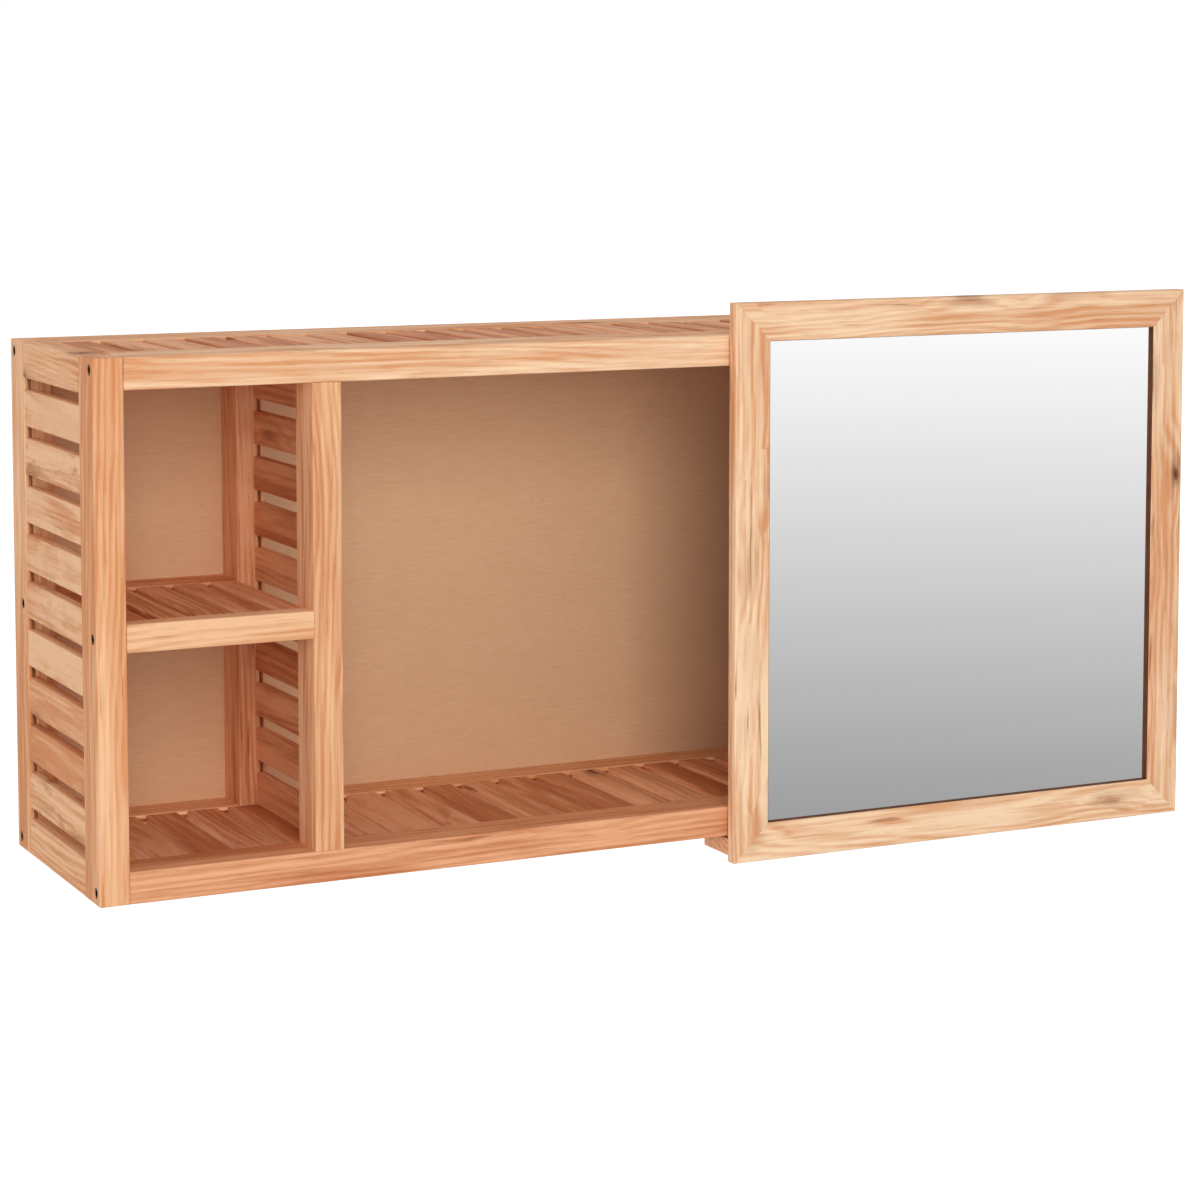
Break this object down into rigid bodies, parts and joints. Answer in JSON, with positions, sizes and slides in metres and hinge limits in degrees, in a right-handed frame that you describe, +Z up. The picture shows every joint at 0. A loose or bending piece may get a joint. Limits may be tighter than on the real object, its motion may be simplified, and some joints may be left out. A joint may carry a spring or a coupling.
{
  "type": "mirror cabinet",
  "caption": "Open-fronted wall cabinet of slatted solid wood with a divider, a small shelf and a framed mirror that slides along its front.",
  "frame": {"origin": "on the wall plane, half way between the round holes of the two hanging plates", "axes": "+X along the cabinet to the right as seen from the front, +Y back into the wall, +Z up"},
  "size_m": [0.948, 0.232, 0.446],
  "materials": {
    "frame_wood": "oiled",
    "slat_wood": "oiled",
    "panel_wood": "oiled",
    "dowel_wood": "plain",
    "backing_board": "plain",
    "dark_steel": "satin black",
    "plated_steel": "zinc plated",
    "nylon": "matte",
    "mirror_glass": "silvered"
  },
  "bodies": {
    "cabinet": {"left_front_post": "frame_wood", "left_back_post": "frame_wood", "right_front_post": "frame_wood", "right_back_post": "frame_wood", "left_top_side_rail": "frame_wood", "left_bottom_side_rail": "frame_wood", "right_top_side_rail": "frame_wood", "right_bottom_side_rail": "frame_wood", "left_side_slats": "slat_wood", "right_side_slats": "slat_wood", "top_front_rail": "frame_wood", "top_back_rail": "frame_wood", "bottom_front_rail": "frame_wood", "bottom_back_rail": "frame_wood", "top_slats": "slat_wood", "bottom_slats": "slat_wood", "divider_front_post": "frame_wood", "divider_back_post": "frame_wood", "divider_slats": "slat_wood", "divider_dowels": "dowel_wood", "shelf_front_rail": "frame_wood", "shelf_back_rail": "frame_wood", "shelf_slats": "slat_wood", "back_panel": "panel_wood", "frame_bolts": "dark_steel", "shelf_bolts": "dark_steel", "hanging_plates": "plated_steel", "plate_screws": "plated_steel", "track_stops": "plated_steel"},
    "mirror": {"mirror_frame_bottom": "frame_wood", "mirror_frame_right": "frame_wood", "mirror_frame_top": "frame_wood", "mirror_frame_left": "frame_wood", "mirror_glass": "mirror_glass", "mirror_backing": "backing_board", "backing_clips": "plated_steel", "clip_screws": "plated_steel", "left_hanger": "plated_steel", "right_hanger": "plated_steel", "hanger_screws": "plated_steel", "hanger_glides": "nylon", "mirror_runner": "frame_wood", "runner_screws": "plated_steel", "runner_pins": "nylon"}
  },
  "joints": [
    {"name": "mirror_slide", "type": "slide", "parent": "cabinet", "child": "mirror", "axis": [-1, 0, 0], "range_m": [0, 0.51]}
  ]
}
